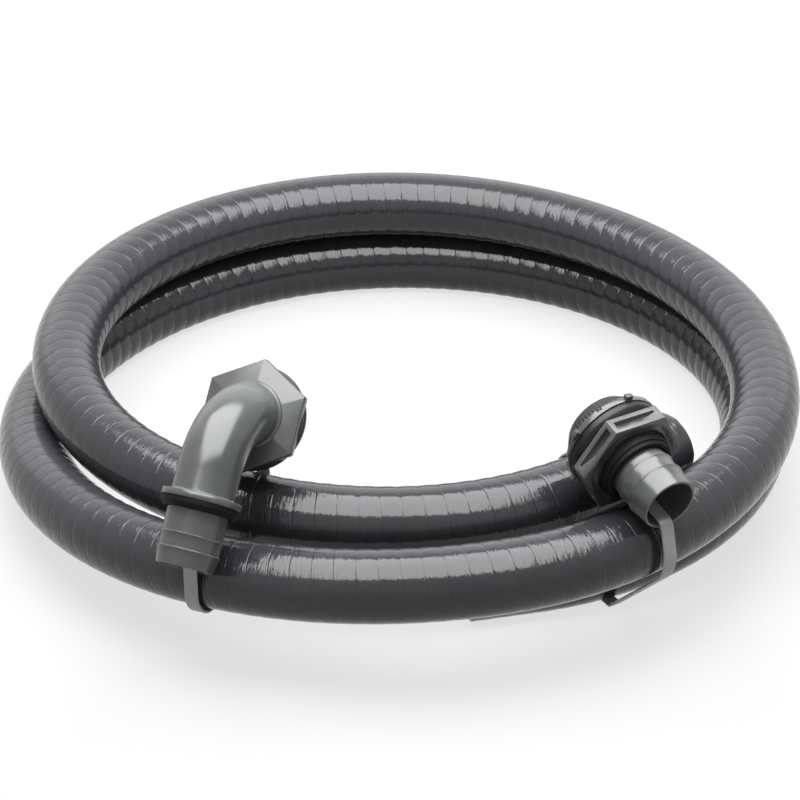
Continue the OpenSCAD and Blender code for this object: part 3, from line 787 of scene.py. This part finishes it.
def make_nut():
    """Hexagon nut with a wedge-shaped pocket in each flat; the wide ends meet at every second corner."""
    back, front = -11.8, 0.0
    inner_r, corner = 29.0, NUT_FLATS / sqrt(3)
    sections = ((inner_r, back), (corner, back), (corner, front), (inner_r, front))
    nut = new_piece("nut_blank", *ringed([hexagon(r, z) for r, z in sections]), material=NUT)
    half, mid, high = 14.5, (back + front) / 2, 2.6
    wedge = [(-half, mid - high), (half, mid - high), (half, mid - 1.4), (2.0, mid + high),
             (-half, mid + high)]
    n = len(wedge)
    solid = [(x, y, z) for x in (27.0, 40.0) for y, z in wedge]
    faces = [tuple(range(n)), tuple(range(2 * n - 1, n - 1, -1))]
    faces += [(i, (i + 1) % n, n + (i + 1) % n, n + i) for i in range(n)]
    cutters = []
    for k in range(6):
        turn = Matrix.Rotation(pi / 6 + k * pi / 3, 4, "Z") @ Matrix.Diagonal((1, 1 if k % 2 else -1, 1, 1))
        cutters.append(moved((solid, faces), matrix=turn))
    cut_away(nut, new_piece("pocket_cutter", *joined(*cutters), smooth=False))
    bevelled(nut, 0.45, 2, 25)
    core = soften([(23.97, back), (29.5, back), (29.5, back + 1), (27.2, back + 1.6), (27.2, front - 1.6),
                   (29.5, front - 1), (29.5, front), (24.9, front), (23.97, front - 0.9)], 0.25, 2)
    core = new_piece("nut_core", *lathe(core), material=NUT)
    return joined_pieces("hexagon_nut", [nut, core], straight_place @ Matrix.Rotation(pi / 6, 4, "Z"))


def with_grip_ribs(points, from_r, depth, count):
    """Fine ribs along the axis on the outside of a turned piece."""
    out = []
    for x, y, z in points:
        r = sqrt(x * x + y * y)
        dip = depth * (0.5 + 0.5 * cos(count * atan2(y, x))) if r > from_r else 0.0
        out.append((x * (1 - dip / r), y * (1 - dip / r), z))
    return out


def barb_ring(width, length):
    """Outline of a rubber ring on a neck, drawn in towards the open end."""
    out = width / 2
    return soften([(NECK_R + 0.06, 0.05), (out, 0.05), (out - 0.2, length * 0.5), (out - 1.9, length),
                   (NECK_R + 2.0, length), (NECK_R + 0.6, length - 1.6)], 0.6, 4)


elbow = make_elbow()
straight = make_straight()
nut = make_nut()

outline = soften([(24.2, -10.9), (32.5, -10.9), (32.5, -6.1), (24.2, -6.1)], [0.3, 1.5, 1.5, 0.3], 4)
elbow_gasket = new_piece("elbow_gasket", *lathe(outline), elbow_place, GASKET)

outline = soften([(24.2, -20.2), (31.5, -20.2), (31.5, -16.3), (27.3, -12.1), (24.2, -12.1)],
                 [0.3, 1.0, 1.4, 0.8, 0.3], 4)
straight_gasket = new_piece("straight_gasket_ring", *lathe(outline), straight_place, GASKET)

outline = soften([(19.35, -37.9), (21.3, -37.9), (28, -29), (28, -24.6), (19.35, -24.6)],
                 [0.3, 1.0, 1.4, 1.0, 0.3], 4)
seal_points, seal_faces = lathe(outline, 192)
seal_points = with_grip_ribs(seal_points, from_r=24.0, depth=0.7, count=64)
back_seal = new_piece("back_seal_ring", seal_points, seal_faces, straight_place, SEAL)

below_collar = Matrix.Translation(((BEND_R + COLLAR_AT + COLLAR_LEN) * MM, 0, BARB_RISE * MM))
tail_seat = elbow_place @ below_collar @ Matrix.Rotation(pi / 2, 4, "Y")
tail_ring = new_piece("elbow_barb_ring", *lathe(barb_ring(47.6, 6)), tail_seat, RING)

outline = soften([(22.1, 0.25), (23.55, 0.25), (23.55, 6), (22.3, 6.2), (22, 9), (19.6, 9), (18.6, 7.9),
                  (18.6, 5.1), (22.1, 5.1)], [0.1, 0.5, 0.9, 0.3, 0.8, 0.3, 0.4, 0.1, 0.1], 3)
shank_cap = new_piece("straight_shank_cap", *lathe(outline), straight_place, RING)


# ---- cable ties --------------------------------------------------------------------------
TIE_W, TIE_T, TIE_GAP = 9.0, 1.5, 0.4


def strap_line(discs, grow_by, floor_z, step=3):
    """Outline of a strap round discs: for each direction, the furthest point of any of them."""
    out = []
    for k in range(0, 360, step):
        n = np.array([cos(radians(k)), sin(radians(k))])
        best = None
        for (x, z), r in discs:
            r = r + grow_by
            p = np.array([x, z]) + r * n
            if p[1] < floor_z:
                p = np.array([x + np.sign(n[0]) * sqrt(max(0, r * r - (z - floor_z) ** 2)), floor_z])
            if best is None or p @ n > best @ n:
                best = p
        out.append(best)
    return np.array(out)


def make_tie(name, discs, turn, heading):
    """A strap closed round its discs, with the lock of the tie low on the inside of the coil."""
    inner, outer = strap_line(discs, TIE_GAP, TIE_T), strap_line(discs, TIE_GAP + TIE_T, 0.0)
    half, edge, least_step = TIE_W / 2, 0.45, 0.05
    rings = []
    for a, b in zip(inner, outer):
        # section of the strap, from its inner face round one side and the outer face to the other side
        across = [(a, -half + edge), (a * 0.85 + b * 0.15, -half + 0.1), (a * 0.35 + b * 0.65, -half),
                  (b * 0.95 + a * 0.05, -half + edge * 0.6), (b, -half + edge * 1.6), (b, half - edge * 1.6),
                  (b * 0.95 + a * 0.05, half - edge * 0.6), (a * 0.35 + b * 0.65, half),
                  (a * 0.85 + b * 0.15, half - 0.1), (a, half - edge)]
        rings.append([(p[0], y, p[1]) for p, y in across])
    keep = [rings[0]]
    for ring in rings[1:]:
        if np.linalg.norm(np.array(ring) - np.array(keep[-1]), axis=1).max() > least_step:
            keep.append(ring)
    strap = new_piece("strap", *ringed(keep), material=TIE)
    out, height = max((r - x, z) for (x, z), r in discs)
    side, wide = -out - TIE_GAP - TIE_T, half + 1
    lock = box((side - 4.5, side + 0.8), (-wide, wide), (height - 4.5, height + 4.5))
    lock = bevelled(new_piece("lock", *lock, material=TIE), 0.7, 3)
    pawl = box((side - 3.6, side - 1.6), (-half + 0.2, half - 0.2), (height + 4.3, height + 4.9))
    pawl = bevelled(new_piece("pawl", *pawl, material=TIE), 0.2, 2)
    x, y, _ = hose_at(np.array([turn]))[0]
    place = Matrix.Translation(Vector((x, y, 0)) * MM) @ Matrix.Rotation(radians(heading), 4, "Z")
    return joined_pieces(name, [strap, lock, pawl], place)


# round sections that each strap wraps, as ((across, height), radius) in the strap's plane
elbow_discs = [((0, TOP_Z), HOSE_R), ((56.942, 53.251), HOSE_R), ((58.442, 53.251), 23),
               ((74.032, 69.220), 7.6), ((21.490, 95.996), 31.3), ((-8.998, 101.669), 7.6)]
straight_discs = [((0, TOP_Z), HOSE_R), ((64.399, TOP_Z), HOSE_R), ((17.281, LOW_Z), HOSE_R),
                  ((68.899, TOP_Z), 23), ((21.781, LOW_Z), 23), ((82.0, 82.3), 5.6), ((11.206, 101.897), 2.1)]
tie_elbow = make_tie("elbow_cable_tie", elbow_discs, ELBOW_TURN, ELBOW_HEADING)
tie_straight = make_tie("straight_cable_tie", straight_discs, STRAIGHT_TURN, STRAIGHT_HEADING)


# ---- floor, world and lights -------------------------------------------------------------
def shown_to_eye(nodes, links):
    """1 for rays from the camera or off a shiny or clear surface, else 0."""
    path = nodes.new("ShaderNodeLightPath").outputs
    seen = path["Is Camera Ray"]
    for name in ("Is Glossy Ray", "Is Transmission Ray"):
        seen = calc(nodes, links, "MAXIMUM", seen, path[name])
    return seen


def make_world(ambient):
    world = bpy.data.worlds.new("studio")
    bpy.context.scene.world = world
    world.use_nodes = True
    nodes, links = world.node_tree.nodes, world.node_tree.links
    background = nodes["Background"]
    background.inputs["Color"].default_value = (1, 1, 1, 1)
    level = nodes.new("ShaderNodeMapRange")
    level.inputs["To Min"].default_value = ambient
    level.inputs["To Max"].default_value = 1.0
    links.new(shown_to_eye(nodes, links), level.inputs["Value"])
    links.new(level.outputs["Result"], background.inputs["Strength"])


def make_floor(half=4000.0, lift=0.70):
    """A plain floor, lifted towards white for the eye only, so it keeps the shadow."""
    corners = [(-half, -half, 0), (half, -half, 0), (half, half, 0), (-half, half, 0)]
    floor = new_piece("floor", corners, [(0, 1, 2, 3)], smooth=False)
    material, nodes, links, shader = new_material("floor_paper")
    shader.inputs["Base Color"].default_value = (0.25, 0.25, 0.25, 1)
    shader.inputs["Roughness"].default_value = 0.9
    shader.inputs["Specular IOR Level"].default_value = 0.0
    shader.inputs["Emission Color"].default_value = (1, 1, 1, 1)
    glow = calc(nodes, links, "MULTIPLY", shown_to_eye(nodes, links), lift)
    links.new(glow, shader.inputs["Emission Strength"])
    floor.data.materials.append(material)


def area_light(name, where, size, power, towards, diffuse=True, glossy=True):
    data = bpy.data.lights.new(name, "AREA")
    data.shape = "RECTANGLE"
    data.size, data.size_y = size
    data.energy = power
    light = put_in_scene(name, data)
    light.location = where
    light.rotation_euler = (Vector(towards) - Vector(where)).to_track_quat("-Z", "Y").to_euler()
    light.visible_diffuse = diffuse
    light.visible_glossy = glossy
    light.visible_camera = False


make_floor()
make_world(ambient=0.15)
area_light("softbox_fill", (0, 0.25, 1.5), (1.8, 1.5), 40, (0, 0, 0), glossy=False)
area_light("softbox_shine", (0, -0.24, 1.2), (1.65, 1.6), 74, (0, -0.24, 0), diffuse=False)
area_light("panel_behind", (0, 2.2, 1.1), (5.0, 1.6), 20, (0, 0, 0.1), diffuse=False)

bpy.context.scene.view_settings.view_transform = "Standard"

# ---- each piece to its body --------------------------------------------------------------
pieces = [
    (hose, "root", "hose", "hose_pvc"),
    (elbow, "root", "elbow_body", "fitting_plastic"),
    (elbow_gasket, "root", "elbow_flange_gasket", "gasket_rubber"),
    (tail_ring, "root", "elbow_tail_ring", "ring_rubber"),
    (straight, "root", "straight_body", "fitting_plastic"),
    (straight_gasket, "gasket", "straight_gasket", "gasket_rubber"),
    (nut, "nut", "straight_nut", "nut_plastic"),
    (shank_cap, "root", "straight_tail_ring", "ring_rubber"),
    (back_seal, "root", "straight_back_seal", "ring_rubber"),
    (tie_elbow, "root", "tie_elbow", "tie_nylon"),
    (tie_straight, "root", "tie_straight", "tie_nylon"),
]
for piece, body, node, slot in pieces:
    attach(piece, body)
    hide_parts(node)
